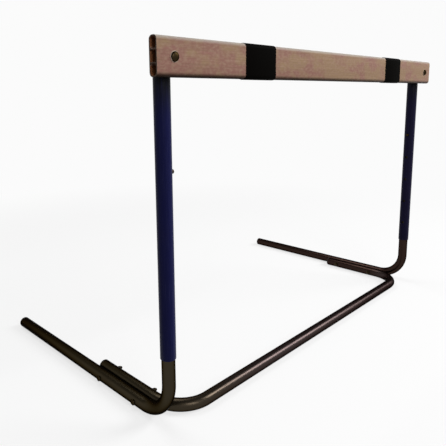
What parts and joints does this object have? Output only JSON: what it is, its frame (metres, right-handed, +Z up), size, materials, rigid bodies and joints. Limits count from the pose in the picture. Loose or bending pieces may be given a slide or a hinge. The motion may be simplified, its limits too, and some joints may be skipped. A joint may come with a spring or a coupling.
{
  "type": "track hurdle",
  "caption": "Track hurdle: a hollow board on two telescoping posts with snap buttons, on a bolted tube base of long legs and a crossbar.",
  "frame": {"origin": "on the floor under the middle of the crossbar's straight run, halfway between the posts", "axes": "+X along the board, +Y towards the free ends of the long legs, +Z up; the board is on the -Y side of the posts"},
  "size_m": [1.2, 0.684, 0.7631],
  "materials": {
    "board_plastic": "extruded plastic, mottled tan",
    "band_plastic": "matte black",
    "blue_paint": "gloss navy blue",
    "base_paint": "satin dark olive brown",
    "dark_steel": "blackened, satin",
    "plain_steel": "zinc plated",
    "black_plastic": "moulded, satin black"
  },
  "bodies": {
    "base": {"cross_tube": "base_paint", "leg_tube_left": "base_paint", "leg_tube_right": "base_paint", "leg_bolt_left_front": "dark_steel", "leg_washer_left_front": "dark_steel", "leg_nut_left_front": "dark_steel", "leg_bolt_left_rear": "dark_steel", "leg_washer_left_rear": "dark_steel", "leg_nut_left_rear": "dark_steel", "leg_bolt_right_front": "dark_steel", "leg_washer_right_front": "dark_steel", "leg_nut_right_front": "dark_steel", "leg_bolt_right_rear": "dark_steel", "leg_washer_right_rear": "dark_steel", "leg_nut_right_rear": "dark_steel", "leg_cap_left": "black_plastic", "leg_cap_right": "black_plastic", "cross_cap_left": "black_plastic", "cross_cap_right": "black_plastic", "button_spring_left": "plain_steel", "button_spring_right": "plain_steel"},
    "slider": {"top_board": "board_plastic", "board_band_left": "band_plastic", "board_band_right": "band_plastic", "outer_post_left": "blue_paint", "outer_post_right": "blue_paint", "board_bolt_left": "dark_steel", "board_washer_left": "dark_steel", "board_nut_left": "dark_steel", "board_sleeve_left": "plain_steel", "board_bolt_right": "dark_steel", "board_washer_right": "dark_steel", "board_nut_right": "dark_steel", "board_sleeve_right": "plain_steel", "post_cap_left": "black_plastic", "post_cap_right": "black_plastic"},
    "left_button": {"snap_button_left": "dark_steel"},
    "right_button": {"snap_button_right": "dark_steel"}
  },
  "joints": [
    {"name": "height_slide", "type": "slide", "parent": "base", "child": "slider", "axis": [0, 0, 1], "range_m": [0, 0.3048], "deforming": ["snap_button_left", "snap_button_right"]},
    {"name": "left_button_press", "type": "slide", "parent": "base", "child": "left_button", "axis": [-1, 0, 0], "range_m": [0, 0.0093], "stiffness_N_per_m": 1200, "springref_m": -0.003, "deforming": ["button_spring_left"]},
    {"name": "right_button_press", "type": "slide", "parent": "base", "child": "right_button", "axis": [1, 0, 0], "range_m": [0, 0.0093], "stiffness_N_per_m": 1200, "springref_m": -0.003, "deforming": ["button_spring_right"]}
  ]
}
